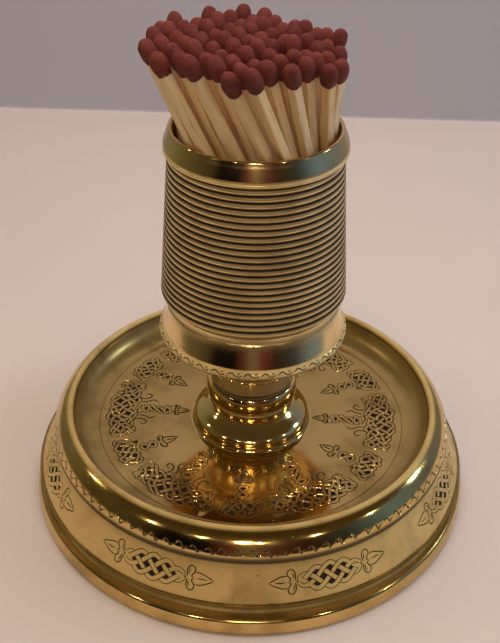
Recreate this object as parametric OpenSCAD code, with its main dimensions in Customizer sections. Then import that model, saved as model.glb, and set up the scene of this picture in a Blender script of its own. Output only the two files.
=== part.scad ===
// Brass table match striker: a ribbed cup of matches on a turned pedestal,
// standing in a wide moulded dish. Origin at the middle of the foot, +Z up.

/* [Dish] */
// Diameter of the foot on the table
foot_d = 100; // [92:1:112]
// Height of the plain rounded edge of the foot
foot_edge_h = 4; // [3:0.1:5]
// Height of the hollow cove above the foot edge
cove_h = 3.5; // [2.8:0.1:4.2]
// How far the cove cuts in behind the edge of the foot
cove_depth = 2; // [1.6:0.1:2.4]
// Height of the sloping engraved band
band_h = 7.8; // [6:0.2:9.6]
// How far the band leans in from its bottom to its top
band_lean = 3.9; // [2.4:0.1:4.8]
// Height of the round moulding above the band
moulding_h = 6.6; // [6:0.1:8]
// Overhang of the moulding over the band
moulding_step = 0.6; // [0.3:0.1:0.9]
// Width of the moulding, from its outer edge to the lip
moulding_w = 3.4; // [2.8:0.1:4]
// Width of the rounded lip around the tray
lip_w = 1.3; // [1:0.1:2]
// Width of the slope from the lip down to the tray floor
slope_w = 5.3; // [4.4:0.1:6.4]
// Depth of the tray floor below the lip
tray_depth = 5.8; // [5:0.1:6.6]
// Thickness of the cast dish
dish_wall = 2.4; // [2:0.1:2.8]

/* [Pedestal] */
// Diameter of the bun that stands on the tray
bun_d = 26.2; // [24:0.2:30]
// Height of the bun
bun_h = 5.4; // [4.4:0.1:6.6]
// Diameter of the short waist above the bun
waist_d = 19; // [16:0.2:19.4]
// Height of the waist
waist_h = 2.1; // [1.6:0.1:3]
// Diameter of the rounded collar under the cup
collar_d = 20.4; // [19.6:0.2:22]
// Height of the collar
collar_h = 4.2; // [3.4:0.1:5]
// Height of the narrow shadow gap between collar and cup
joint_h = 0.8; // [0.5:0.1:1.2]

/* [Striker cup] */
// Diameter of the neck under the cup
neck_d = 18.6; // [15:0.2:19]
// Height of the neck
neck_h = 7.2; // [6:0.2:9]
// Height of the round underside between neck and bulge
underside_h = 5.4; // [4.6:0.2:7]
// Largest diameter of the bulge
bulge_d = 40.4; // [38:0.2:43]
// Height of the bulge, from its beaded edge to the plain band
bulge_h = 7.4; // [6:0.2:9]
// Height of the plain band under the ribs
plain_band_h = 2.9; // [2.2:0.1:4]
// Number of turned ribs
rib_count = 23; // [18:1:26]
// Distance from one rib to the next
rib_pitch = 1.37; // [1.2:0.01:1.5]
// Height of each rib above its groove
rib_depth = 0.45; // [0.3:0.01:0.55]
// Diameter at the bottom of the lowest groove
cup_low_d = 38.3; // [37.4:0.1:39.4]
// Diameter at the bottom of the highest groove
cup_high_d = 34; // [33.6:0.1:35]
// Height of the rim band above the ribs
rim_h = 5.2; // [4.4:0.1:6.4]
// How far the rim's beaded edge stands out past the top groove
rim_flare = 1.15; // [0.8:0.05:1.5]
// Thickness of the rim at its lip
rim_lip_w = 0.9; // [0.7:0.05:1.1]
// Thickness of the cup wall behind the grooves
cup_wall = 0.9; // [0.8:0.05:0.95]
// Depth of the match well
well_depth = 27; // [24:0.5:30]

/* [Matches] */
// Width of the square splints
splint_w = 1.9; // [1.5:0.05:1.9]
// Length of a match without the part of the head beyond the splint
splint_l = 41.4; // [39:0.2:45]
// Diameter of a match head
head_d = 3.4; // [2.8:0.1:3.5]
// Length of a match head
head_l = 4.8; // [4:0.1:5.4]
// How far the tip of the head stands past the splint
head_tip = 0.9; // [0.6:0.1:1.2]
// Height above the mouth at which the bunch is measured
bunch_rise = 15; // [14:0.5:16]
// Diameter of the bunch there, between opposite outer matches
bunch_d = 36.6; // [35.6:0.2:37]
// Lean of the whole bunch to the left, in mm sideways for each mm of height
bunch_slant = 0.1; // [0:0.01:0.1]
// Depth below the mouth at which the leaning bunch passes the middle of the cup
bunch_pivot = 3; // [2:0.5:4]
// Turn of the square splints about their own length, in degrees
splint_turn = 46; // [40:1:50]
// Largest sideways scatter of the heads
scatter = 0.3; // [0:0.05:0.3]
// Largest difference in height between neighbouring heads
height_scatter = 1.6; // [0:0.1:2]
// How much higher the front matches stand than the back ones
front_rise = 2.2; // [0:0.1:2.4]
// Play between the outer matches and the cup
match_play = 0.1; // [0.08:0.01:0.2]
// Gap between the feet of the matches and the floor of the well
match_gap = 0.15; // [0.05:0.05:0.3]
// Length lost by the one broken match
broken_loss = 5.5; // [4:0.5:8]
// Length of the slanting split on it
split_l = 4; // [3:0.5:6]

/* [Fixing] */
// Diameter of the stud that holds the cup on the dish
stud_d = 5; // [4:0.5:6]
// Play of the stud in the pedestal and in the dish, on the diameter
stud_play = 0.4; // [0.2:0.1:0.8]
// Play of the stud in the neck's threaded hole, on the diameter
thread_play = 0.04; // [0.02:0.01:0.1]
// Length of the stud inside the neck
stud_grip = 10; // [7:0.5:12]
// Width across the flats of the nut
nut_w = 8; // [7.6:0.1:11]
// Thickness of the nut
nut_h = 4; // [3:0.1:4.4]
// Diameter of the washer
washer_d = 14; // [12.8:0.2:18]
// Thickness of the washer
washer_h = 1; // [0.6:0.1:1.4]
// Length of the stud below the nut
stud_tail = 1.4; // [0.6:0.1:1.8]

/* [Hidden] */
$fn = 120;

// Dish: heights from the table up, then radii from the foot in
cove_z = foot_edge_h;
band_z = cove_z + cove_h;
moulding_z = band_z + band_h;
lip_z = moulding_z + moulding_h;
tray_z = lip_z - tray_depth;
foot_r = foot_d / 2;
band_low_r = foot_r - 1.6;
band_high_r = band_low_r - band_lean;
moulding_r = band_high_r + moulding_step;
lip_r = moulding_r - moulding_w;
tray_edge_r = lip_r - lip_w;
tray_r = tray_edge_r - slope_w;
under_z = tray_z - dish_wall;
foot_round = 1.2;
foot_bevel = 0.7;
cove_set = 0.9;
cove_fillet = 0.15;
edge_break = 0.35;
swell_share = 0.94;

// Pedestal: heights from the tray up
bun_r = bun_d / 2;
waist_z = tray_z + bun_h;
collar_z = waist_z + waist_h;
joint_z = collar_z + collar_h;
cup_z = joint_z + joint_h;
joint_inset = 0.9;
joint_r = neck_d / 2 - joint_inset;
bore_r = (stud_d + stud_play) / 2;
bun_flank_h = 1.6;
bun_inset = 1;
bun_shoulder = 0.3;
neck_groove = 0.35;
collar_a = 75;

// Cup: heights from the neck up
neck_r = neck_d / 2;
underside_z = cup_z + neck_h;
bulge_z = underside_z + underside_h;
band_low_z = bulge_z + bulge_h;
ribs_z = band_low_z + plain_band_h;
rim_z = ribs_z + rib_count * rib_pitch;
mouth_z = rim_z + rim_h;
well_z = mouth_z - well_depth;
bulge_r = bulge_d / 2;
cup_low_r = cup_low_d / 2;
cup_high_r = cup_high_d / 2;
rim_r = cup_high_r + rim_flare;
mouth_out_r = cup_high_r + 0.1;
mouth_r = mouth_out_r - rim_lip_w;
bead_r = 1.15;
neck_break = 0.3;
neck_bead_rise = 3.7;
neck_bead_z = cup_z + neck_bead_rise;
neck_bead_r = 0.25;
plain_inset = 0.95;
plain_bead = 0.25;
flank_set = 0.6;
flank_curve = 1.25;
rim_bead_r = 0.55;
rim_bead_z = rim_z + 0.85;
rim_band_z = rim_z + 1.8;
rim_groove = 0.3;
rim_curve = 1.2;

// Radius of the bottom of the grooves at height z
function groove_r(z) = cup_low_r + (cup_high_r - cup_low_r) * (z - ribs_z) / (rim_z - ribs_z);
// Radius of a rib's round section, from its width and height
rib_r = (rib_pitch * rib_pitch / 4 + rib_depth * rib_depth) / (2 * rib_depth);
well_r = groove_r(well_z) - cup_wall;
well_round = 0.4;

// Matches: a straight-line bunch that is narrowest inside the mouth. A match
// whose foot is p leans by lean * p + twist * (p turned a quarter), so no two
// matches meet, however close they pass. The whole bunch slants as one.
splint_reach = 0.9 * splint_w;
pivot_rise = well_depth - bunch_pivot;
foot_shift = bunch_slant * pivot_rise;
foot_ring_r = well_r - splint_reach - match_play - foot_shift;
mouth_ring_r = cup_high_r - cup_wall - splint_reach - match_play - bunch_slant * (rim_h - bunch_pivot);
head_ring_r = bunch_d / 2;
head_rise = well_depth + bunch_rise;
mouth_gain = pow(mouth_ring_r / foot_ring_r, 2) - 1;
head_gain = pow(head_ring_r / foot_ring_r, 2) - 1;
bend = (head_gain - mouth_gain * head_rise / pivot_rise) / (head_rise * (head_rise - pivot_rise));
lean = (mouth_gain / pivot_rise - bend * pivot_rise) / 2;
twist = sqrt(bend - lean * lean);
lattice_max = 19;
outer_min = 16;
outer_share = 0.25;
lattice_step = foot_ring_r / sqrt(lattice_max);
broken_cell = [1, 1];
scatter_seed = 41;
grip_share = 0.7;
head_collar = 0.62;
head_skew = 1.25;
head_fullness = 0.8;

// Cells [i, j] of a hexagonal lattice whose squared distance from the middle is in a range
function cell_size(c) = c[0] * c[0] + c[0] * c[1] + c[1] * c[1];
function cells(low, high) = [for (i = [-5:5], j = [-5:5])
    let (c = [i, j]) if (cell_size(c) >= low && cell_size(c) <= high) c];
function cell_foot(c) = lattice_step * [c[0] + c[1] / 2, c[1] * sqrt(3) / 2];
// A number from -1 to 1 that is always the same for one cell
function cell_noise(c, k) = rands(-1, 1, 1, scatter_seed + 97 * c[0] + 13 * c[1] + 1009 * k)[0];
function cell_sway(c) = scatter / head_rise * (cell_size(c) >= outer_min ? outer_share : 1)
    * [cell_noise(c, 1), cell_noise(c, 2)];
// Lean of a match, in mm sideways for each mm of height
function cell_lean(c) = let (p = cell_foot(c))
    lean * p + twist * [p[1], -p[0]] + cell_sway(c) - [bunch_slant, 0];
// Foot of a match on the floor of the well
function cell_start(c) = cell_foot(c) + [foot_shift, 0];
// A leaning match is gripped higher up, so that the heads stay nearly level
function cell_lift(c) = let (slope = norm(cell_lean(c)), tilt = atan(slope))
    match_gap + splint_reach * sin(tilt) + grip_share * splint_l * (1 - cos(tilt))
    + height_scatter * (1 + cell_noise(c, 3)) / 2
    + front_rise * (1 - cell_foot(c)[1] / foot_ring_r) / 2;

// Points of an arc from angle a to angle b, for a lathe profile
function arc(c, r, a, b, n = 8) =
    [for (i = [0:n]) let (t = a + (b - a) * i / n) c + r * [cos(t), sin(t)]];

module lathe(points) rotate_extrude() polygon(points);

// The dish is one casting, open underneath, turned outside and in the tray
module dish_section() {
    cove_r = cove_h / 2;
    lip_top = lip_w / 2;
    swell_h = moulding_h - lip_top;
    swell_r = (moulding_w * moulding_w + swell_h * swell_h) / (2 * moulding_w);
    swell_a = asin(swell_h / swell_r) * swell_share;
    slope_drop = tray_depth - lip_top;
    slope_r = (slope_w * slope_w + slope_drop * slope_drop) / (2 * slope_drop);
    slope_a = asin(slope_w / slope_r);
    thin = dish_wall + cove_depth * 2 / 3;
    outside = concat(
        arc([foot_r - foot_round, foot_round], foot_round, -90, 0, 6),
        [[foot_r - foot_bevel / 2, cove_z - foot_bevel * 0.7], [foot_r - foot_bevel, cove_z]],
        [for (p = arc([0, 0], 1, -90, 90, 10))
            [foot_r - cove_set - cove_depth * p[0], cove_z + cove_r + (cove_r - cove_fillet) * p[1]]],
        [[band_low_r - edge_break, band_z], [band_low_r, band_z + edge_break]],
        [[band_high_r, moulding_z], [moulding_r - edge_break / 2, moulding_z + edge_break / 3],
         [moulding_r, moulding_z + edge_break]],
        arc([moulding_r - swell_r, moulding_z + edge_break], swell_r, 0, swell_a, 10),
        arc([lip_r - lip_top, lip_z - lip_top], lip_top, 60, 180, 8),
        [for (i = [1:10]) let (t = slope_a * (1 - i / 10))
            [tray_r + slope_r * sin(t), tray_z + slope_r * (1 - cos(t))]]);
    // Inside, the casting follows the outside a wall's thickness behind it
    inside = [
        [bore_r, tray_z],
        [bore_r, under_z],
        [tray_r - foot_bevel, under_z],
        [lip_r - foot_bevel, moulding_z + moulding_h / 2 - dish_wall],
        [band_high_r - dish_wall, moulding_z - dish_wall],
        [band_low_r - thin, band_z - edge_break],
        [foot_r - thin, cove_z - edge_break],
        [foot_r - dish_wall - foot_bevel, 0]];
    polygon(concat(outside, inside));
}

module dish() {
    color("#b8924a") rotate_extrude() dish_section();
}

// Bun, waist and collar are one turned piece, bored for the stud
module pedestal() {
    waist_r = waist_d / 2;
    dome_h = bun_h - bun_flank_h - bun_shoulder;
    color("#c79a3e") lathe(concat(
        [[bore_r, tray_z], [bun_r - bun_inset, tray_z]],
        arc([bun_r - bun_flank_h, tray_z + bun_flank_h], bun_flank_h, -60, 10, 6),
        [for (i = [1:8]) let (t = 90 * i / 8)
            [waist_r + (bun_r - waist_r) * cos(t), waist_z - dome_h + dome_h * sin(t)]],
        [[waist_r, waist_z + waist_h * 0.6], [waist_r - neck_groove, collar_z - neck_groove * 0.7],
         [waist_r, collar_z]],
        [for (i = [0:10]) let (t = collar_a * (i / 5 - 1))
            [waist_r + (collar_d / 2 - waist_r) * cos(t),
             collar_z + collar_h / 2 * (1 + sin(t) / sin(collar_a))]],
        [[joint_r, joint_z + joint_h / 8], [joint_r, cup_z], [bore_r, cup_z]]));
}

// Outline of the cup from the neck to the plain band, then the rim
module cup_section() {
    socket_r = (stud_d + thread_play) / 2;
    socket_top = cup_z + stud_grip + 1;
    plain_r = cup_low_r - plain_inset;
    flank_r = bulge_r - flank_set;
    bead_top = bulge_z + 2 * bead_r;
    lip_r = rim_lip_w / 2;
    rim_band_h = rim_h - (rim_band_z - rim_z) - lip_r;
    polygon(concat(
        [[0, socket_top], [socket_r, socket_top - 1], [socket_r, cup_z], [neck_r - neck_break, cup_z]],
        [[neck_r, cup_z + neck_break], [neck_r, neck_bead_z - neck_bead_r],
         [neck_r + neck_bead_r, neck_bead_z], [neck_r, neck_bead_z + neck_bead_r]],
        [for (i = [0:10]) let (t = 9 * i)
            [neck_r + (bulge_r - bead_r - neck_r) * (1 - cos(t)), underside_z + underside_h * sin(t)]],
        arc([bulge_r - bead_r, bulge_z + bead_r], bead_r, -90, 60, 10),
        [for (i = [1:8]) let (t = i / 8)
            [plain_r + (flank_r - plain_r) * pow(1 - t, flank_curve),
             bead_top + (band_low_z - bead_top) * t]],
        [[plain_r + plain_bead, band_low_z + plain_bead], [plain_r, band_low_z + plain_band_h * 0.6],
         [cup_low_r, ribs_z]],
        [[cup_high_r, rim_z]],
        arc([rim_r - rim_bead_r, rim_bead_z], rim_bead_r, -70, 60, 6),
        [[rim_r - rim_groove, (rim_bead_z + rim_bead_r + rim_band_z) / 2]],
        [for (i = [0:6]) let (t = i / 6)
            [rim_r - (rim_r - mouth_out_r) * pow(t, rim_curve), rim_band_z + rim_band_h * t]],
        arc([mouth_out_r - lip_r, mouth_z - lip_r], lip_r, 30, 180, 8),
        [[cup_high_r - cup_wall, rim_z]],
        [[well_r, well_z + well_round]],
        arc([well_r - well_round, well_z + well_round], well_round, 0, -90, 4),
        [[0, well_z]]));
}

module striker_cup() {
    color("#bd9a56") rotate_extrude() union() {
        cup_section();
        intersection() {
            for (i = [0:rib_count - 1])
                let (z = ribs_z + (i + 0.5) * rib_pitch)
                    translate([groove_r(z) + rib_depth - rib_r, z]) circle(rib_r, $fn = 48);
            polygon([[cup_low_r - cup_wall / 2, ribs_z], [cup_low_r + 2 * rib_depth, ribs_z],
                     [cup_high_r + 2 * rib_depth, rim_z], [cup_high_r - cup_wall / 2, rim_z]]);
        }
    }
}

module stud() {
    low = under_z - washer_h - nut_h - stud_tail;
    top = cup_z + stud_grip;
    chamfer = 0.5;
    color("#8f8f8c") lathe([
        [0, low], [stud_d / 2 - chamfer, low], [stud_d / 2, low + chamfer],
        [stud_d / 2, top - chamfer], [stud_d / 2 - chamfer, top], [0, top]]);
}

module washer() {
    color("#b08a45") translate([0, 0, under_z - washer_h]) difference() {
        cylinder(d = washer_d, h = washer_h);
        translate([0, 0, -1]) cylinder(d = stud_d + stud_play, h = washer_h + 2);
    }
}

module nut() {
    low = under_z - washer_h - nut_h;
    across = nut_w / cos(30);
    color("#a8843f") difference() {
        intersection() {
            translate([0, 0, low]) cylinder(d = across, h = nut_h, $fn = 6);
            lathe([[0, low], [nut_w / 2, low], [across / 2 + 0.1, low + 0.6],
                   [across / 2 + 0.1, low + nut_h - 0.2], [nut_w / 2, low + nut_h], [0, low + nut_h]]);
        }
        translate([0, 0, low - 1]) cylinder(d = stud_d + thread_play, h = nut_h + 2);
    }
}

// Sets its children at a cell's foot, leaning as that match leans
module at_cell(c) {
    v = cell_lean(c);
    start = cell_start(c);
    lift = cell_lift(c);
    azimuth = atan2(v[1], v[0]);
    translate([start[0] + v[0] * lift, start[1] + v[1] * lift, well_z + lift])
        rotate([0, atan(norm(v)), azimuth])
            rotate([0, 0, splint_turn - azimuth])
                children();
}

module splint(length = splint_l) {
    translate([-splint_w / 2, -splint_w / 2, 0]) cube([splint_w, splint_w, length]);
}

// A dipped head: round at the tip, drawn in where it meets the wood
module match_head() {
    low = splint_l + head_tip - head_l;
    collar_r = head_collar * splint_w;
    widest = pow(0.5, 1 / head_skew);
    swell_r = head_d / 2 - collar_r * (1 - widest);
    difference() {
        lathe(concat(
            [[0, low], [collar_r, low]],
            [for (i = [1:7]) let (t = i / 8, swell = sin(180 * pow(t, head_skew)))
                [collar_r * (1 - t) + swell_r * pow(swell, head_fullness), low + head_l * t]],
            [[0, low + head_l]]));
        splint();
    }
}

module splints(low, high) {
    color("#e3c48c") for (c = cells(low, high)) if (c != broken_cell) at_cell(c) splint();
}

module heads(low, high) {
    color("#6e2422") for (c = cells(low, high)) if (c != broken_cell) at_cell(c) match_head();
}

module splints_inner() splints(0, 4);
module splints_middle() splints(7, 12);
module splints_outer() splints(13, lattice_max);
module heads_inner() heads(0, 4);
module heads_middle() heads(7, 12);
module heads_outer() heads(13, lattice_max);

// One match has lost its head and ends in a slanting split
module broken_splint() {
    length = splint_l - broken_loss;
    split_a = atan(1.5 * splint_w / (2 * split_l));
    color("#ecd3a2") at_cell(broken_cell) difference() {
        splint(length);
        translate([-splint_w / 2, -splint_w, length - split_l]) rotate([0, split_a, 0])
            translate([-2 * splint_w, 0, 0]) cube([2 * splint_w, 2 * splint_w, 2 * split_l]);
    }
}

dish();
pedestal();
striker_cup();
stud();
washer();
nut();
splints_inner();
splints_middle();
splints_outer();
heads_inner();
heads_middle();
heads_outer();
broken_splint();
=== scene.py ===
import math

import bmesh
import bpy
import numpy as np
from mathutils import Euler, Matrix, Vector
from mathutils.geometry import delaunay_2d_cdt


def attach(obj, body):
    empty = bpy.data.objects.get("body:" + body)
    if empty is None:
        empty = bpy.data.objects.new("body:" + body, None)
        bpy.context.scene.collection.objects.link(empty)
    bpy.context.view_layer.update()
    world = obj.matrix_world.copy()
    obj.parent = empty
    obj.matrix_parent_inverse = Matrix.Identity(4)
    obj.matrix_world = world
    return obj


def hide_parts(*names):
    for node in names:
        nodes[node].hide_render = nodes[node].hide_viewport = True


# Brass table match striker: engraved dish, turned pedestal, ribbed cup and a bunch of matches.
# Lengths in the dictionaries are millimetres, as on the drawing of the part.
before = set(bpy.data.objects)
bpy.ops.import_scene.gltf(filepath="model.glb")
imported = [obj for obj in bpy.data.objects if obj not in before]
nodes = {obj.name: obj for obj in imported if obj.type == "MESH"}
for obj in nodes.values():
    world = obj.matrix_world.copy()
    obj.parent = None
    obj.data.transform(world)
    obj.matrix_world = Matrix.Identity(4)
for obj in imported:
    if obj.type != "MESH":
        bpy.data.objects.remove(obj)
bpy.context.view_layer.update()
mm = 0.001
scene = bpy.context.scene
print("frame loaded:", len(nodes), "nodes")


# Helpers for nodes and meshes
def fill(tree, node, inputs):
    # Inputs are values or links, in their order or by name
    for key, value in (inputs.items() if isinstance(inputs, dict) else enumerate(inputs)):
        if isinstance(value, bpy.types.NodeSocket):
            tree.links.new(value, node.inputs[key])
        else:
            node.inputs[key].default_value = value


def addNode(tree, kind, inputs=(), out=0, **settings):
    # Adds a node and gives back the output named or numbered out, or all of them when out is None
    node = tree.nodes.new(kind)
    count = len(tree.nodes)
    node.location = (190 * (count % 10), -260 * (count // 10))
    for name, value in settings.items():
        setattr(node, name, value)
    fill(tree, node, inputs)
    return node.outputs if out is None else node.outputs[out]


def linearColor(hexCode):
    values = [int(hexCode[i:i + 2], 16) / 255 for i in (1, 3, 5)]
    return tuple(v / 12.92 if v <= 0.04045 else ((v + 0.055) / 1.055) ** 2.4 for v in values) + (1.0,)


def startMaterial(name):
    material = bpy.data.materials.new(name)
    material.use_nodes = True
    tree = material.node_tree
    return material, tree, tree.nodes["Principled BSDF"]


def attribute(tree, name, out="Fac"):
    return addNode(tree, "ShaderNodeAttribute", out=out, attribute_name=name)


def calc(tree, operation, *values):
    return addNode(tree, "ShaderNodeMath", values, operation=operation)


def spread(tree, value, low, high, start, end, kind="LINEAR"):
    # Maps low to high onto start to end, and holds the ends
    return addNode(tree, "ShaderNodeMapRange", [value, low, high, start, end], interpolation_type=kind)


def noise(tree, place, size, detail, roughness=0.5, kind="3D"):
    # Cloudy noise, its largest blots about size mm across
    return addNode(tree, "ShaderNodeTexNoise", {"Vector": place, "Scale": 1 / (size * mm), "Detail": detail,
                                                "Roughness": roughness}, "Fac", noise_dimensions=kind)


def mixColor(tree, share, first, second):
    # Each colour is a hex code or a link
    first, second = (linearColor(c) if isinstance(c, str) else c for c in (first, second))
    return addNode(tree, "ShaderNodeMix", {"Factor": share, 6: first, 7: second}, 2, data_type="RGBA")


def mixValue(tree, share, first, second):
    return addNode(tree, "ShaderNodeMix", {"Factor": share, 2: first, 3: second}, data_type="FLOAT")


def bump(tree, strength, depth, height, **normal):
    return addNode(tree, "ShaderNodeBump", {"Strength": strength, "Distance": depth * mm, "Height": height, **normal})


def startTree(name, inputs):
    tree = bpy.data.node_groups.new(name, "GeometryNodeTree")
    for label, kind in {"Geometry": "Geometry", **inputs}.items():
        tree.interface.new_socket(label, in_out="INPUT", socket_type="NodeSocket" + kind)
    tree.interface.new_socket("Geometry", in_out="OUTPUT", socket_type="NodeSocketGeometry")
    return tree, addNode(tree, "NodeGroupInput", out=None)


def endTree(tree, shape, material, smooth=True):
    if smooth:
        shape = addNode(tree, "GeometryNodeSetShadeSmooth", {"Geometry": shape, "Shade Smooth": True})
    shape = addNode(tree, "GeometryNodeSetMaterial", {"Geometry": shape, "Material": material})
    tree.links.new(shape, tree.nodes.new("NodeGroupOutput").inputs[0])
    return tree


def named(tree, label):
    return addNode(tree, "GeometryNodeInputNamedAttribute", {"Name": label}, "Attribute", data_type="FLOAT")


def store(tree, shape, label, value, kind="FLOAT"):
    return addNode(tree, "GeometryNodeStoreNamedAttribute", {"Geometry": shape, "Name": label, "Value": value},
                   data_type=kind, domain="POINT")


def meshObject(name, points, edges=(), faces=(), attributes=None):
    mesh = bpy.data.meshes.new(name)
    mesh.from_pydata([tuple(p) for p in points], list(edges), list(faces))
    for label, values in (attributes or {}).items():
        layer = mesh.attributes.new(label, "FLOAT", "POINT")
        layer.data.foreach_set("value", np.asarray(values, np.float32))
    thing = bpy.data.objects.new(name, mesh)
    scene.collection.objects.link(thing)
    return thing


def runTree(thing, tree, values):
    # Evaluates the tree on the object and keeps the result as a plain mesh
    modifier = thing.modifiers.new(tree.name, "NODES")
    modifier.node_group = tree
    for item in tree.interface.items_tree:
        if item.name in values:
            modifier[item.identifier] = values[item.name]
    bpy.context.view_layer.update()
    graph = bpy.context.evaluated_depsgraph_get()
    mesh = bpy.data.meshes.new_from_object(thing.evaluated_get(graph))
    thing.modifiers.remove(modifier)
    old = thing.data
    thing.data = mesh
    bpy.data.meshes.remove(old)
    mesh.name = thing.name
    return thing


# Materials
def brass(name, look):
    # Brass is a yellow metal. Polished it mirrors the room with a golden cast, it dulls to brown
    # where hands and rags don't reach, and the lathe leaves fine rings round the axis. The same
    # dark brown is also laid on as painted shade on some bands that the outlines mark.
    material, tree, shader = startMaterial(name)
    place = addNode(tree, "ShaderNodeTexCoord", out="Object")
    x, y, z = addNode(tree, "ShaderNodeSeparateXYZ", [place], None)
    flat = addNode(tree, "ShaderNodeCombineXYZ", [x, y])
    radius = addNode(tree, "ShaderNodeVectorMath", [flat], "Value", operation="LENGTH")
    grime, satin, cut = (attribute(tree, label) for label in ("grime", "satin", "cut"))

    # Turning rings: noise that only knows the distance from the axis and the height
    ringPlace = addNode(tree, "ShaderNodeCombineXYZ", [radius, z])
    rings = noise(tree, ringPlace, look["ringPitch"], 2, kind="2D")
    # Tarnish comes in cloudy patches of a centimetre or so, with smaller smears in them
    patches = noise(tree, place, look["patchSize"], 5, roughness=0.62)
    tarnish = spread(tree, patches, 0.42, 0.72, 0, look["tarnish"], "SMOOTHSTEP")
    # Pits of about 0.2 mm, left from the casting, in some places only
    pitScale = 1 / (look["pitSpacing"] * mm)
    pits = addNode(tree, "ShaderNodeTexVoronoi", {"Vector": place, "Scale": pitScale}, "Distance")
    pitMask = spread(tree, pits, 0.05, 0.11, 1, 0)
    pitPlace = spread(tree, patches, 0.5, 0.6, 0, look["pits"])
    pitsDirtAndShade = calc(tree, "MAXIMUM", grime, calc(tree, "MULTIPLY", pitMask, pitPlace))
    # Black wax and dirt stay in the engraver's cuts; here they join the outlines' dark marks, which are dirt in places
    # and painted shade in others
    dirtAndShade = calc(tree, "MAXIMUM", pitsDirtAndShade, spread(tree, cut, 0.15, 0.6, 0, 1))

    metal = mixColor(tree, tarnish, look["bright"], look["dull"])
    color = mixColor(tree, dirtAndShade, metal, look["grime"])
    rubbed = spread(tree, rings, 0.3, 0.7, look["roughness"] * 0.8, look["roughness"] * 1.25)
    dulled = calc(tree, "MULTIPLY_ADD", tarnish, 0.16, rubbed)
    roughness = mixValue(tree, dirtAndShade, mixValue(tree, satin, dulled, look["satinRoughness"]), 0.75)
    cleanAndUnshaded = calc(tree, "MULTIPLY_ADD", dirtAndShade, -0.85, 1)
    mirrored = calc(tree, "MULTIPLY_ADD", satin, -look["satinHaze"], 1)
    ringed = bump(tree, look["ringStrength"], 0.02, rings)
    waves = noise(tree, place, 4, 1)
    fill(tree, shader, {"Base Color": color, "Roughness": roughness,
                        "Metallic": calc(tree, "MULTIPLY", cleanAndUnshaded, mirrored),
                        "Normal": bump(tree, 0.25, 0.05, waves, Normal=ringed)})
    return material


dishLook = {"bright": "#DDBC78", "dull": "#9E814A", "grime": "#241A0E", "roughness": 0.1, "satinRoughness": 0.42,
            "satinHaze": 0.78, "ringPitch": 0.35, "ringStrength": 0.22, "patchSize": 14, "tarnish": 0.75,
            "pitSpacing": 2.4, "pits": 0.9}
pedestalLook = {"bright": "#FFE2A0", "dull": "#D4B26A", "grime": "#1C1206", "roughness": 0.07, "satinRoughness": 0.3,
                "satinHaze": 0, "ringPitch": 0.25, "ringStrength": 0.12, "patchSize": 9, "tarnish": 0.35,
                "pitSpacing": 3, "pits": 0.1}
cupLook = {"bright": "#F4D698", "dull": "#A0844E", "grime": "#1C1309", "roughness": 0.11, "satinRoughness": 0.3,
           "satinHaze": 0.7, "ringPitch": 0.3, "ringStrength": 0.22, "patchSize": 10, "tarnish": 0.5,
           "pitSpacing": 3, "pits": 0.3}
dishBrass = brass("polishedCastBrass", dishLook)
pedestalBrass = brass("polishedTurnedBrass", pedestalLook)
cupBrass = brass("turnedBrass", cupLook)


def drawnSteel():
    # Plain steel rod: grey, slightly dull, with drawn lines along its length
    material, tree, shader = startMaterial("drawnSteel")
    place = addNode(tree, "ShaderNodeTexCoord", out="Object")
    lines = addNode(tree, "ShaderNodeMapping", {"Vector": place, "Scale": (1, 1, 0.02)})
    shade = spread(tree, noise(tree, lines, 0.4, 3), 0.3, 0.7, 0.28, 0.45)
    fill(tree, shader, {"Base Color": linearColor("#A9A7A2"), "Metallic": 1, "Roughness": shade})
    return material


def aspenWood():
    # Raw aspen: pale cream, fine fibres along the splint, a few brown streaks, no varnish
    material, tree, shader = startMaterial("rawAspen")
    place = attribute(tree, "grainPlace", "Vector")
    stretched = addNode(tree, "ShaderNodeMapping", {"Vector": place, "Scale": (1, 1, 0.06)})
    fibres, streaks = noise(tree, stretched, 0.22, 4), noise(tree, stretched, 0.9, 2)
    color = mixColor(tree, attribute(tree, "matchTone"), "#FDE8C4", "#F5D6A2")
    color = mixColor(tree, spread(tree, fibres, 0.35, 0.75, 0, 0.45), color, "#CFAE78")
    color = mixColor(tree, spread(tree, streaks, 0.58, 0.75, 0, 0.55), color, "#B98F58")
    # Painted bounce light: deep in the bunch, where the AO node finds little open space, the wood is painted orange, as
    # light that has gone through wood and past the red heads would turn it
    openness = addNode(tree, "ShaderNodeAmbientOcclusion", {"Distance": 3.5 * mm}, "AO", samples=8)
    color = mixColor(tree, spread(tree, openness, 0.2, 0.65, 0.8, 0), color, "#B4702F")
    fill(tree, shader, {"Base Color": color, "Normal": bump(tree, 0.5, 0.04, fibres), "Roughness": 0.72, "IOR": 1.45,
                        "Subsurface Weight": 0.12, "Subsurface Radius": (1, 0.6, 0.3), "Subsurface Scale": 0.6 * mm})
    return material


def matchComposition():
    # Dipped and dried match composition: matt maroon with a fine grain and a few darker specks
    material, tree, shader = startMaterial("matchComposition")
    place = addNode(tree, "ShaderNodeTexCoord", out="Object")
    grain, clouds = noise(tree, place, 0.28, 3), noise(tree, place, 1.6, 2)
    color = mixColor(tree, attribute(tree, "matchTone"), "#7C3833", "#642A29")
    color = mixColor(tree, spread(tree, clouds, 0.4, 0.7, 0, 0.5), color, "#8A443C")
    color = mixColor(tree, spread(tree, grain, 0.45, 0.7, 0, 0.5), color, "#4A1C1C")
    fill(tree, shader, {"Base Color": color, "Normal": bump(tree, 0.6, 0.06, grain), "Roughness": 0.82, "IOR": 1.5})
    return material


steel = drawnSteel()
aspen = aspenWood()
matchRed = matchComposition()
print("materials made")


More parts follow.
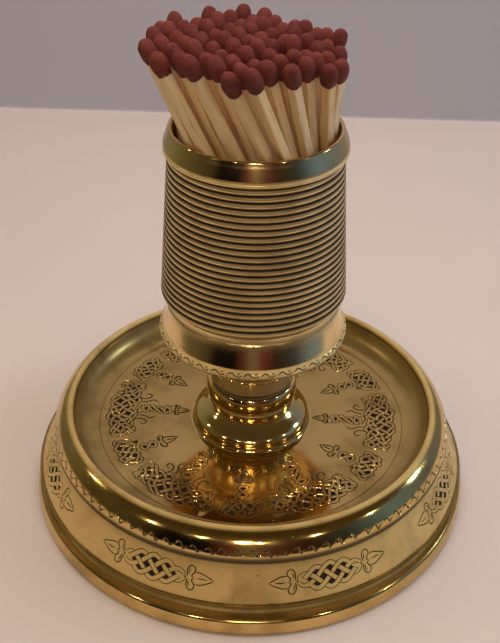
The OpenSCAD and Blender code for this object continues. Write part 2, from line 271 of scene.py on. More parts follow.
# Turned pieces: an outline is drawn once and a Geometry Nodes lathe turns it round the axis
def latheTree():
    # A row whose two outline points are both marked open is left out
    tree, given = startTree("lathe", {"Segments": "Int", "Material": "Material"})
    profile, segments = given["Geometry"], given["Segments"]
    count = addNode(tree, "GeometryNodeAttributeDomainSize", [profile], "Point Count", component="MESH")
    columns = addNode(tree, "FunctionNodeIntegerMath", [segments, 1], operation="ADD")
    grid = addNode(tree, "GeometryNodeMeshGrid", {"Vertices X": count, "Vertices Y": columns})
    index = addNode(tree, "GeometryNodeInputIndex")
    row = addNode(tree, "FunctionNodeIntegerMath", [index, columns], operation="DIVIDE_FLOOR")
    column = addNode(tree, "FunctionNodeIntegerMath", [index, columns], operation="MODULO")

    def sample(value, kind):
        return addNode(tree, "GeometryNodeSampleIndex", {"Geometry": profile, "Value": value, "Index": row},
                       data_type=kind)

    outline = sample(addNode(tree, "GeometryNodeInputPosition"), "FLOAT_VECTOR")
    angle = calc(tree, "MULTIPLY", calc(tree, "DIVIDE", column, segments), 2 * math.pi)
    turned = addNode(tree, "ShaderNodeVectorRotate", {"Vector": outline, "Angle": angle}, rotation_type="Z_AXIS")
    shape = addNode(tree, "GeometryNodeSetPosition", {"Geometry": grid, "Position": turned})
    for label in ("grime", "satin", "open"):
        shape = store(tree, shape, label, sample(named(tree, label), "FLOAT"))
    gap = addNode(tree, "FunctionNodeCompare", [named(tree, "open"), 0.99], data_type="FLOAT",
                  operation="GREATER_THAN")
    shape = addNode(tree, "GeometryNodeDeleteGeometry", {"Geometry": shape, "Selection": gap}, domain="FACE")
    shape = addNode(tree, "GeometryNodeRemoveAttribute", {"Geometry": shape, "Name": "open"})
    shape = addNode(tree, "GeometryNodeMergeByDistance", {"Geometry": shape, "Distance": 1e-6})
    return endTree(tree, shape, given["Material"])


lathe = latheTree()
sharpAngle = 28  # degrees between two faces from which their edge looks sharp


def sweep(start, end, steps):
    return [math.radians(start + (end - start) * i / steps) for i in range(steps + 1)]


def arc(centreR, centreZ, radius, start, end, steps):
    return [(centreR + radius * math.cos(a), centreZ + radius * math.sin(a)) for a in sweep(start, end, steps)]


def turn(name, outline, segments, material):
    # An outline point is (radius, height), then its dark mark (dirt, and painted shade on some bands), satin and open
    # where they aren't 0; the outline is closed
    points = [tuple(p) + (0, 0, 0)[:5 - len(p)] for p in outline]
    kept = [p for i, p in enumerate(points) if i == 0 or math.dist(p[:2], points[i - 1][:2]) > 0.01]
    kept.append(kept[0])
    radii, heights, *marks = zip(*kept)
    piece = meshObject(name, [(r * mm, 0, z * mm) for r, z in zip(radii, heights)],
                       [(i, i + 1) for i in range(len(kept) - 1)],
                       attributes=dict(zip(("grime", "satin", "open"), marks)))
    return runTree(piece, lathe, {"Segments": segments, "Material": material})


def closeShell(piece):
    # Deletes loose bits, faces every side outwards and counts the open edges
    work = bmesh.new()
    work.from_mesh(piece.data)
    bmesh.ops.delete(work, geom=[e for e in work.edges if not e.link_faces], context="EDGES")
    bmesh.ops.delete(work, geom=[v for v in work.verts if not v.link_faces], context="VERTS")
    bmesh.ops.dissolve_degenerate(work, edges=work.edges, dist=1e-7)
    bmesh.ops.recalc_face_normals(work, faces=work.faces)
    openEdges = sum(1 for e in work.edges if not e.is_manifold)
    work.to_mesh(piece.data)
    work.free()
    piece.data.set_sharp_from_angle(angle=math.radians(sharpAngle))
    print(piece.name, "faces", len(piece.data.polygons), "open edges", openEdges)


# Engraving: a panel is drawn flat, split along its lines, sunk to its depth and laid on the brass
engraving = {"lineWidth": 0.4, "lineDepth": 0.15, "groundDepth": 0.17, "ramp": 0.13, "step": 0.42, "taper": 0.6,
             "clearance": 0.22, "cell": 0.12, "weld": 0.002, "lineSamples": 2400}


def lengthsAlong(run):
    # How far along a line each of its points is, from the steps between them
    return np.concatenate([[0], np.cumsum(np.linalg.norm(run, axis=1))])


def smoothLine(points, step):
    # A curve through the given points, sampled about every step
    points = np.array(points, float)
    count = len(points)
    out = []
    for i in range(count - 1):
        a, b, c, d = (points[min(max(i + k, 0), count - 1)] for k in (-1, 0, 1, 2))
        parts = max(2, int(np.linalg.norm(c - b) / step))
        for t in np.arange(parts) / parts:
            out.append(0.5 * (2 * b + (c - a) * t + (2 * a - 5 * b + 4 * c - d) * t ** 2
                              + (3 * b - a - 3 * c + d) * t ** 3))
    return np.array(out + [points[-1]])


def offsetLine(line, amount, closed):
    # The line moved sideways, to its left where amount is above 0
    if closed:
        along = np.roll(line, -1, 0) - np.roll(line, 1, 0)
    else:
        along = line[[*range(1, len(line)), -1]] - line[[0, *range(len(line) - 1)]]
    along /= np.linalg.norm(along, axis=1)[:, None]
    return line + np.stack([-along[:, 1], along[:, 0]], 1) * np.broadcast_to(amount, len(line))[:, None]


def nearest(points, starts, ends, besideOnly=False):
    # Distance to the closest of many short lines, which line that is, and how far along it
    distance, index, share = np.empty(len(points)), np.empty(len(points), int), np.empty(len(points))
    run = ends - starts
    batch = 1500
    for first in range(0, len(points), batch):
        part = slice(first, first + batch)
        some = points[part, None]
        t = ((some - starts) * run).sum(-1) / (run * run).sum(-1)
        beside = (t > -0.04) & (t < 1.04)
        t = t.clip(0, 1)
        gaps = np.linalg.norm(some - starts - run * t[..., None], axis=-1)
        if besideOnly:
            gaps[~beside] = 1e6
        best = gaps.argmin(1)
        rows = np.arange(len(best))
        distance[part], index[part], share[part] = gaps[rows, best], best, t[rows, best]
    return distance, index, share


def crossingsOf(line):
    # Where a closed line crosses itself: its place along both passes and the sine of the angle between them
    run = np.roll(line, -1, 0) - line
    found = []
    for i in range(len(line)):
        others = np.arange(i + 2, len(line) - (i == 0))
        across = run[i, 0] * run[others, 1] - run[i, 1] * run[others, 0]
        across[np.abs(across) < 1e-12] = 1e-12
        gap = line[others] - line[i]
        t = (gap[:, 0] * run[others, 1] - gap[:, 1] * run[others, 0]) / across
        u = (gap[:, 0] * run[i, 1] - gap[:, 1] * run[i, 0]) / across
        for j in np.flatnonzero((t >= 0) & (t < 1) & (u >= 0) & (u < 1)):
            angle = abs(across[j]) / np.linalg.norm(run[i]) / np.linalg.norm(run[others[j]])
            found.append((i + t[j], others[j] + u[j], angle))
    return found


def interlace(bounces, columns, halfLength, halfWidth, strap, bend, pinch=0, power=2):
    # One endless strap that weaves over and under itself inside a lens-shaped space. It runs to and fro
    # bounces times along the space and columns times across it, and pinch narrows the space at both ends.
    t = np.linspace(0, 2 * math.pi, engraving["lineSamples"], endpoint=False)
    wave = lambda angle, sharp: np.arcsin(sharp * np.sin(angle)) / math.asin(sharp)
    along, across = wave(bounces * t, 0.95), wave(columns * t, 0.9)
    room = 1 - pinch * np.abs(along) ** power
    line = bend(np.stack([halfLength * along, halfWidth * room * across], 1))
    length = lengthsAlong(np.roll(line, -1, 0) - line)
    count = int(length[-1] / engraving["step"])
    at = np.arange(count) * length[-1] / count
    line = np.stack([np.interp(at, length, np.append(line[:, k], line[0, k])) for k in (0, 1)], 1)
    # The strap goes over at every second crossing along it, and its edges are cut through the strap below
    passes = sorted((s, k, c[2]) for k, c in enumerate(crossingsOf(line)) for s in c[:2])
    starts = []
    for s, _, angle in passes[::2]:
        reach = (strap / 2 / max(angle, 0.4) + 2.5 * engraving["ramp"]) / engraving["step"]
        starts += range(math.floor(s - reach), math.ceil(s + reach))
    starts = np.array(starts) % count
    # The spaces that it encloses are found on small cells, as what can't be reached from outside
    margin, cell = 1.5, engraving["cell"]
    low = line.min(0) - margin
    size = np.ceil((line.max(0) + margin - low) / cell).astype(int)
    spots = low + (np.stack(np.meshgrid(*map(np.arange, size), indexing="ij"), -1) + 0.5) * cell
    free = (nearest(spots.reshape(-1, 2), line, np.roll(line, -1, 0))[0] > strap / 2).reshape(size)
    outside = np.zeros_like(free)
    outside[0] = True
    while True:
        grown = outside.copy()
        for axis in (0, 1):
            for step in (-1, 1):
                grown |= np.roll(outside, step, axis)
        grown &= free
        if (grown == outside).all():
            break
        outside |= grown
    return {"line": line, "strap": strap, "over": (line[starts], line[(starts + 1) % count]), "low": low,
            "enclosed": free & ~outside}


def stroke(points):
    # A graver's stroke, thinner and shallower at both ends
    line = smoothLine(points, engraving["step"] * 0.8)
    length = lengthsAlong(line[1:] - line[:-1])
    taper = (np.minimum(length, length[-1] - length) / engraving["taper"] + 0.3).clip(0, 1)
    return {"line": line, "half": engraving["lineWidth"] / 2 * taper, "taper": taper}


def leafStrokes(size, place):
    # Two rounded lobes and a beak, as a stop at the end of a knot
    lobe = [(-0.1, 0.12), (-0.3, 1.0), (-0.1, 2.0), (0.5, 2.5), (1.2, 2.2), (1.35, 1.4), (0.85, 0.75), (0.75, 0.3),
            (1.3, 0.06)]
    beak = [(1.3, 1.15), (2.4, 1.25), (3.7, 0.75), (5.2, 0.0)]
    bar = [(0.1, 0.5), (0.15, 1.3), (0.45, 1.9)]
    vein = [(1.7, 0.0), (2.8, 0.1), (3.9, 0.0)]
    shapes = [(side, shape) for side in (-1, 1) for shape in (lobe, beak, bar)] + [(1, vein)]
    return [stroke(place([(x * size, side * y * size) for x, y in shape])) for side, shape in shapes]


def carveDepth(points, knots, strokes):
    # How deep the cut is at each point of a flat panel
    ramp = engraving["ramp"]
    depth = np.zeros(len(points))
    hump = lambda gap: (1 - np.abs(gap - ramp) / ramp).clip(0, 1)
    for knot in knots:
        line = knot["line"]
        gap = nearest(points, line, np.roll(line, -1, 0))[0] - knot["strap"] / 2
        spot = ((points - knot["low"]) / engraving["cell"]).astype(int)
        known = ((spot >= 0) & (spot < knot["enclosed"].shape)).all(1)
        inside = np.zeros(len(points), bool)
        inside[known] = knot["enclosed"][tuple(spot[known].T)]
        cut = np.where(inside, (gap / ramp).clip(0, 1), hump(gap))
        cut[gap < 1e-5] = 0
        under = nearest(points, *knot["over"], besideOnly=True)[0] - knot["strap"] / 2
        depth = np.maximum(depth, np.maximum(cut, hump(under)) * engraving["groundDepth"])
    for s in strokes:
        gap, index, share = nearest(points, s["line"][:-1], s["line"][1:])
        half, taper = (s[key][index] * (1 - share) + s[key][index + 1] * share for key in ("half", "taper"))
        depth = np.maximum(depth, (1 - gap / half).clip(0, 1) * taper * engraving["lineDepth"])
    return depth


def carvePanel(name, knots, strokes, border, grid, place, satin=0.0, emptyCore=0.0):
    # place(flat, depth) lays the panel's points on the brass; within emptyCore of the origin it stays open
    points, edges, lines = list(map(tuple, border)), [], []

    def addLine(line, closed):
        first = len(points)
        points.extend(map(tuple, line))
        edges.extend((first + i, first + (i + 1) % len(line)) for i in range(len(line) if closed else len(line) - 1))
        lines.append((line if closed else line[:-1], np.roll(line, -1, 0) if closed else line[1:]))

    edges += [(i, (i + 1) % len(points)) for i in range(len(points))]
    for knot in knots:
        for side in (-1, 1):
            for k in (0, 1, 2):
                addLine(offsetLine(knot["line"], side * (knot["strap"] / 2 + k * engraving["ramp"]), True), True)
    for s in strokes:
        for side in (-1, 0, 1):
            addLine(offsetLine(s["line"], side * s["half"], False), False)
    starts, ends = (np.concatenate([pair[k] for pair in lines]) for k in (0, 1))
    grid = np.array(grid)
    points += map(tuple, grid[nearest(grid, starts, ends)[0] > engraving["clearance"]])
    flat, _, faces, origins, *_ = delaunay_2d_cdt([Vector(p) for p in points], edges, [], 0, 1e-5)
    flat = np.array([v[:] for v in flat])
    core = np.linalg.norm(flat, axis=1) < emptyCore + 1e-4
    onBorder = np.array([any(k < len(border) for k in origin) for origin in origins])

    def sliver(face):
        # A face of no width between border points only
        (ax, ay), (bx, by), (cx, cy) = flat[list(face)]
        return onBorder[list(face)].all() and abs((bx - ax) * (cy - ay) - (by - ay) * (cx - ax)) < 1e-3

    faces = [f for f in faces if not core[list(f)].all() and not sliver(f)]
    depth = carveDepth(flat, knots, strokes)
    panel = meshObject(name, place(flat, depth) * mm, faces=faces,
                       attributes={"grime": np.zeros(len(flat)), "satin": np.full(len(flat), satin),
                                   "cut": (depth / engraving["lineDepth"]).clip(0, 1)})
    print(name, "triangles", len(faces))
    return panel


def ringTree():
    # Copies of a panel set round the axis
    tree, given = startTree("panelsRoundAxis", {"Count": "Int", "First angle": "Float", "Material": "Material"})
    spots = addNode(tree, "GeometryNodeMeshLine", {"Count": given["Count"], "Offset": (0, 0, 0)})
    number = addNode(tree, "GeometryNodeInputIndex")
    pitch = calc(tree, "DIVIDE", 2 * math.pi, given["Count"])
    angle = calc(tree, "MULTIPLY_ADD", number, pitch, given["First angle"])
    turned = addNode(tree, "ShaderNodeCombineXYZ", {"Z": angle})
    placed = addNode(tree, "GeometryNodeInstanceOnPoints",
                     {"Points": spots, "Instance": given["Geometry"], "Rotation": turned})
    shape = addNode(tree, "GeometryNodeRealizeInstances", [placed])
    return endTree(tree, shape, given["Material"], smooth=False)


def joinTree():
    # Joins a turned piece with its panels and welds their borders
    tree, given = startTree("fitPanels", {"Panels": "Object", "Merge distance": "Float", "Material": "Material"})
    panels = addNode(tree, "GeometryNodeObjectInfo", {"Object": given["Panels"]}, "Geometry")
    both = addNode(tree, "GeometryNodeJoinGeometry", [given["Geometry"]])
    tree.links.new(panels, both.node.inputs[0])
    shape = addNode(tree, "GeometryNodeRealizeInstances", [both])
    shape = addNode(tree, "GeometryNodeMergeByDistance", {"Geometry": shape, "Distance": given["Merge distance"]})
    return endTree(tree, shape, given["Material"])


panelsRoundAxis, fitPanels = ringTree(), joinTree()


def engrave(piece, panel, count, firstAngle, material):
    # Repeats the panel round the axis and welds it into the piece
    runTree(panel, panelsRoundAxis, {"Count": count, "First angle": math.radians(firstAngle), "Material": material})
    runTree(piece, fitPanels, {"Panels": panel, "Merge distance": engraving["weld"] * mm, "Material": material})
    bpy.data.objects.remove(panel)


def roundSurface(centreR, centreZ, radius, start):
    # Radius, height and outward direction on a rounded moulding, v mm along its outline from the start angle
    def surface(v):
        outR, outZ = np.cos(start + v / radius), np.sin(start + v / radius)
        return centreR + radius * outR, centreZ + radius * outZ, outR, outZ
    return surface


def bandPanel(name, segments, count, height, rows, surface, radius, knots, strokes, satin=0.0):
    # One of count panels on a turned surface, with columns that meet the lathe's segments
    half = math.pi / count
    steps = segments // count
    columns = [(-half + 2 * half * i / steps) * radius for i in range(steps + 1)]
    levels = [height * i / rows for i in range(rows + 1)]
    border = [(x, 0) for x in columns] + [(columns[-1], v) for v in levels[1:-1]]
    border += [(x, height) for x in reversed(columns)] + [(columns[0], v) for v in reversed(levels[1:-1])]
    grid = [(x, v) for x in columns[1:-1] for v in levels[1:-1]]

    def place(flat, depth):
        angle = flat[:, 0] / radius
        r, z, outR, outZ = surface(flat[:, 1])
        r, z = r - depth * outR, z - depth * outZ
        return np.stack([r * np.cos(angle), r * np.sin(angle), z], 1)

    return carvePanel(name, knots, strokes, border, grid, place, satin)


# Dish
dish = {"footRadius": 50, "footEdge": 4, "footRound": 1.2, "coveHeight": 3.5, "coveDepth": 2, "bandLowRadius": 48.4,
        "bandHighRadius": 44.5, "bandHeight": 7.8, "mouldingRadius": 45.1, "mouldingHeight": 6.6, "mouldingWidth": 3.4,
        "lipWidth": 1.3, "slopeWidth": 5.3, "trayDepth": 5.8, "wall": 2.4, "boreRadius": 2.7, "segments": 240,
        "bandFrom": 8.1, "bandTo": 15.0, "bandMiddleRadius": 46.4, "skirtPanels": 8, "skirtTurn": -69,
        "swellFrom": 6, "swellSteps": 24,
        "wriggleRows": (3, 13), "wrigglePanels": 12, "wriggleStrokes": 8, "wriggleTurn": -60,
        "trayFrom": 13.8, "trayTo": 34.6, "trayPanels": 6, "trayTurn": -54}
dish["bandZ"] = dish["footEdge"] + dish["coveHeight"]
dish["mouldingZ"] = dish["bandZ"] + dish["bandHeight"]
dish["lipZ"] = dish["mouldingZ"] + dish["mouldingHeight"]
dish["trayZ"] = dish["lipZ"] - dish["trayDepth"]
dish["lipRadius"] = dish["mouldingRadius"] - dish["mouldingWidth"]
swellRise = dish["mouldingHeight"] - dish["lipWidth"] / 2
dish["swell"] = (dish["mouldingWidth"] ** 2 + swellRise ** 2) / (2 * dish["mouldingWidth"])
dish["swellTop"] = math.degrees(math.asin(swellRise / dish["swell"])) * 0.94


def bandRadius(z):
    # The engraved band is a plain cone between the cove and the moulding
    low, high = dish["bandZ"] + 0.35, dish["mouldingZ"]
    return dish["bandLowRadius"] + (dish["bandHighRadius"] - dish["bandLowRadius"]) * (z - low) / (high - low)


def dishOutline(d):
    coveZ, bandZ, mouldingZ, lipZ, trayZ = d["footEdge"], d["bandZ"], d["mouldingZ"], d["lipZ"], d["trayZ"]
    foot, low, high, lipR = d["footRadius"], d["bandLowRadius"], d["bandHighRadius"], d["lipRadius"]
    bore, wall = d["boreRadius"], d["wall"]
    trayR = lipR - d["lipWidth"] - d["slopeWidth"]
    underZ = trayZ - wall
    lipTop = d["lipWidth"] / 2
    coveR = d["coveHeight"] / 2
    drop = d["trayDepth"] - lipTop
    hollow = (d["slopeWidth"] ** 2 + drop ** 2) / (2 * drop)
    hollowTop = math.degrees(math.asin(d["slopeWidth"] / hollow))
    out = arc(foot - d["footRound"], d["footRound"], d["footRound"], -90, 0, 10)
    out += [(foot - 0.08, 2.2), (foot - 0.3, coveZ - 0.5), (foot - 0.48, coveZ - 0.2), (foot - 0.7, coveZ)]
    # The cove is darker towards its deepest line
    out += [(foot - 0.9 - d["coveDepth"] * math.cos(t), coveZ + coveR + (coveR - 0.15) * math.sin(t),
             0.15 + 0.5 * math.cos(t) ** 2) for t in sweep(-90, 90, 20)]
    out += [(low - 0.35, bandZ, 0.2), (low - 0.1, bandZ + 0.1), (low, bandZ + 0.35, 0, 0.5)]
    out += [(bandRadius(z), z, 0, 1, 1) for z in (d["bandFrom"], d["bandTo"])]
    out += [(high, mouldingZ, 0.9), (d["mouldingRadius"] - 0.3, mouldingZ + 0.3, 0.9)]
    first, last = d["wriggleRows"]
    swell = arc(d["mouldingRadius"] - d["swell"], mouldingZ + 0.35, d["swell"], d["swellFrom"], d["swellTop"],
                d["swellSteps"])
    # Painted shade darkens the lower rows of the moulding, most at its foot
    out += [point + (0.9 * max(0, 1 - i / 9), 0, float(first <= i <= last)) for i, point in enumerate(swell)]
    out += [p + (0, 1) for p in arc(lipR - lipTop, lipZ - lipTop, lipTop, 60, 165, 14)]
    # The inner slope is darker towards the lip, darkest just under it
    out += [(trayR + hollow * math.sin(t), trayZ + hollow * (1 - math.cos(t)), 0.9 if i < 2 else 0.45 - 0.015 * i)
            for i, t in enumerate(sweep(hollowTop, 0, 20)) if i]
    out += [(trayR - 0.12, trayZ, 0.3), (trayR - 0.22, trayZ - 0.05, 0.5), (trayR - 0.32, trayZ, 0.3)]
    out += [(d["trayTo"], trayZ, 0, 0, 1), (d["trayFrom"], trayZ, 0, 0, 1)]
    out += [(13.4, trayZ, 0.2), (13.0, trayZ, 0.9), (8, trayZ, 0.5)]  # dirt where the pedestal stands
    thin = wall + d["coveDepth"] * 2 / 3
    return out + [(bore, trayZ), (bore, underZ), (10, underZ), (22, underZ), (trayR - 0.7, underZ),
                  (lipR - 0.7, mouldingZ + d["mouldingHeight"] / 2 - wall), (high - wall, mouldingZ - wall),
                  (low - thin, bandZ - 0.35), (foot - thin, coveZ - 0.35), (foot - wall - 0.7, 0)]


def skirtPanel(d):
    # Part of the sloping band: a pointed knot of four strands with a leaf and a beak at each end
    low, high = (bandRadius(d["bandFrom"]), d["bandFrom"]), (bandRadius(d["bandTo"]), d["bandTo"])
    length = math.dist(low, high)
    outR, outZ = (high[1] - low[1]) / length, (low[0] - high[0]) / length
    surface = lambda v: (low[0] + (high[0] - low[0]) * v / length, low[1] + (high[1] - low[1]) * v / length, outR, outZ)
    middle = length / 2
    knot = interlace(2, 5, 6.6, 2.5, 0.74, lambda p: p + (0, middle), 0.78, 2.4)
    strokes = []
    for side in (-1, 1):
        strokes += leafStrokes(1.02, lambda pts: [(side * (7.6 + x), middle + side * y) for x, y in pts])
    return bandPanel("skirtPanel", d["segments"], d["skirtPanels"], length, 5, surface, d["bandMiddleRadius"],
                     [knot], strokes, 1.0)


def wrigglePanel(d):
    # Wriggle work: short strokes rocked along the moulding, each ending in a hook
    first, last = d["wriggleRows"]
    rowAngle, swell = math.radians(d["swellTop"] - d["swellFrom"]) / d["swellSteps"], d["swell"]
    start = math.radians(d["swellFrom"]) + rowAngle * first
    height = rowAngle * (last - first) * swell
    radius = d["mouldingRadius"]
    surface = roundSurface(radius - swell, d["mouldingZ"] + 0.35, swell, start)
    pitch = 2 * math.pi / d["wrigglePanels"] / d["wriggleStrokes"] * radius
    hook = [(-0.6, 0.1), (-0.46, 0.3), (-0.3, 0.36), (-0.12, 0.22), (0.0, -0.08), (0.08, -0.36), (0.2, -0.26),
            (0.36, -0.08), (0.52, -0.02)]
    half = d["wriggleStrokes"] // 2
    strokes = []
    for k in range(-half, half):
        # No two strokes are alike; the outer ones don't slip, so that they stay off the panel's ends
        slip = 0.06 * math.sin(3.9 * k + 1) * (-half < k < half - 1)
        grow, rise = 1.75 + 0.3 * math.sin(2.3 * k), 0.1 * math.sin(5 * k) - 0.2
        strokes.append(stroke([((k + 0.5 + slip + 0.74 * (x + 0.04)) * pitch, height / 2 + rise + grow * y)
                               for x, y in hook]))
    return bandPanel("wrigglePanel", d["segments"], d["wrigglePanels"], height, last - first, surface, radius, [],
                     strokes)


def trayPanel(d):
    # Part of the tray floor: a wide knot with a plaited arm, and a small knot with a leaf beside it
    inner, outer = d["trayFrom"], d["trayTo"]
    half = math.pi / d["trayPanels"]
    angles = np.linspace(-half, half, d["segments"] // d["trayPanels"] + 1)
    levels = np.linspace(inner, outer, 17)[1:-1]
    at = lambda r, a: (r * math.cos(a), r * math.sin(a))
    border = [at(outer, a) for a in angles] + [at(r, half) for r in levels[::-1]]
    border += [at(inner, a) for a in angles[::-1]] + [at(r, -half) for r in levels]
    grid = [(1.5 * (i + j / 2), 1.3 * j) for i in range(-20, 40) for j in range(-16, 17)]
    grid = [g for g in grid if inner + 0.7 < math.hypot(*g) < outer - 0.7
            and abs(math.atan2(g[1], g[0])) < half - 0.8 / math.hypot(*g)]

    def bentAt(radius, degrees):
        # Lays a drawing along the arc of that radius, its y pointing outwards
        def place(p):
            angle = math.radians(degrees) + p[:, 0] / radius
            return np.stack([(radius + p[:, 1]) * np.cos(angle), (radius + p[:, 1]) * np.sin(angle)], 1)
        return place

    def inwardAt(radius, degrees):
        # Lays a drawing along a spoke, its x pointing to the axis
        c, s = math.cos(math.radians(degrees)), math.sin(math.radians(degrees))
        return lambda p: np.array([((radius - x) * c - y * s, (radius - x) * s + y * c) for x, y in p])

    def handDrawn(place):
        # Nothing in hand engraving is quite even
        return lambda p: place(p + 0.34 * np.stack([np.sin(1.35 * p[:, 1] + 0.7 * p[:, 0]),
                                                    np.sin(1.1 * p[:, 0] - 0.7 * p[:, 1])], 1))

    wide, small = -9, 21  # degrees from the middle of the panel
    knots = [interlace(3, 10, 9.4, 3.0, 0.54, handDrawn(bentAt(29.9, wide)), 0.3, 2.4),
             interlace(1, 6, 3.75, 1.3, 0.5, handDrawn(inwardAt(22.1, wide)), 0.3),
             interlace(2, 5, 3.9, 2.3, 0.52, handDrawn(bentAt(30.5, small)), 0.35),
             interlace(1, 2, 1.7, 1.0, 0.5, inwardAt(25.4, small))]
    strokes = leafStrokes(0.66, inwardAt(17.6, wide)) + leafStrokes(0.8, inwardAt(22.6, small))
    curl = [(-2.2, 4.2), (-0.6, 3.6), (0.6, 4.0), (0.9, 5.0), (0.2, 5.5), (-0.3, 4.9)]
    tendril = [(-1.4, 2.3), (0.2, 2.6), (1.3, 3.3), (2.5, 2.6)]
    for side in (-1, 1):
        for radius, shape in ((24.8, curl), (24.6, tendril)):
            strokes.append(stroke(inwardAt(radius, wide)([(x, side * y) for x, y in shape])))
    place = lambda flat, depth: np.column_stack([flat, d["trayZ"] - depth])
    return carvePanel("trayPanel", knots, strokes, border, grid, place, emptyCore=inner)


dishPiece = turn("dishVisual", dishOutline(dish), dish["segments"], dishBrass)
engrave(dishPiece, skirtPanel(dish), dish["skirtPanels"], dish["skirtTurn"], dishBrass)
engrave(dishPiece, wrigglePanel(dish), dish["wrigglePanels"], dish["wriggleTurn"], dishBrass)
engrave(dishPiece, trayPanel(dish), dish["trayPanels"], dish["trayTurn"], dishBrass)
closeShell(dishPiece)
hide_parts("dish")

# Pedestal
pedestal = {"base": 16.1, "bunRadius": 13.1, "bunHeight": 5.4, "flank": 1.6, "filletWidth": 0.75, "filletHeight": 1.3,
            "waistRadius": 9.5, "waistHeight": 2.1, "collarRadius": 10.2, "collarHeight": 4.2, "collarAngle": 75,
            "jointRadius": 8.4, "jointHeight": 0.8, "boreRadius": 2.7, "segments": 168}


def pedestalOutline(p):
    base, bun, waist, joint, bore = p["base"], p["bunRadius"], p["waistRadius"], p["jointRadius"], p["boreRadius"]
    waistZ = base + p["bunHeight"]
    collarZ = waistZ + p["waistHeight"]
    jointZ = collarZ + p["collarHeight"]
    cupZ = jointZ + p["jointHeight"]
    out = [(bore, base)]
    out += [(bun + p["filletWidth"] * (1 - math.sin(t)), base + p["filletHeight"] * (1 - math.cos(t)))
            for t in sweep(0, 90, 12)]
    shoulder = p["flank"] + 0.3
    for t in sweep(0, 90, 24):
        bell = 0.3 * math.cos(t) + 0.35 * (1 + math.cos(math.pi * math.sin(t)))
        out.append((waist + (bun - waist) * bell, base + shoulder + (p["bunHeight"] - shoulder) * math.sin(t)))
    out += [(waist, waistZ + 0.6 * p["waistHeight"]), (waist - 0.12, collarZ - 0.55, 0.5),
            (waist - 0.35, collarZ - 0.25, 0.9), (waist, collarZ, 0.5)]
    top = math.sin(math.radians(p["collarAngle"]))
    for t in sweep(-p["collarAngle"], p["collarAngle"], 24):
        out.append((waist + (p["collarRadius"] - waist) * math.cos(t),
                    collarZ + p["collarHeight"] / 2 * (1 + math.sin(t) / top)))
    return out + [(joint + 0.3, jointZ + 0.05, 0.6), (joint, jointZ + 0.15, 1), (joint, cupZ, 1), (bore, cupZ)]


pedestalPiece = turn("pedestalVisual", pedestalOutline(pedestal), pedestal["segments"], pedestalBrass)
closeShell(pedestalPiece)
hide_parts("pedestal")

# Striker cup
cup = {"base": 28.6, "neckRadius": 9.3, "neckHeight": 7.2, "undersideHeight": 5.4, "bulgeRadius": 20.2,
       "bulgeHeight": 7.4, "beadRadius": 1.15, "beadAngle": 168, "beadSteps": 22, "plainBand": 2.9, "plainInset": 0.95,
       "ribs": 23, "ribPitch": 1.37, "ribDepth": 0.45, "lowRadius": 19.15, "highRadius": 17.0, "rimHeight": 5.2,
       "rimFlare": 1.15, "lipWidth": 0.9, "wall": 0.9, "wellDepth": 27, "socketRadius": 2.52, "socketDepth": 11,
       "segments": 216, "scrollRows": (10, 19), "scrollPanels": 36}


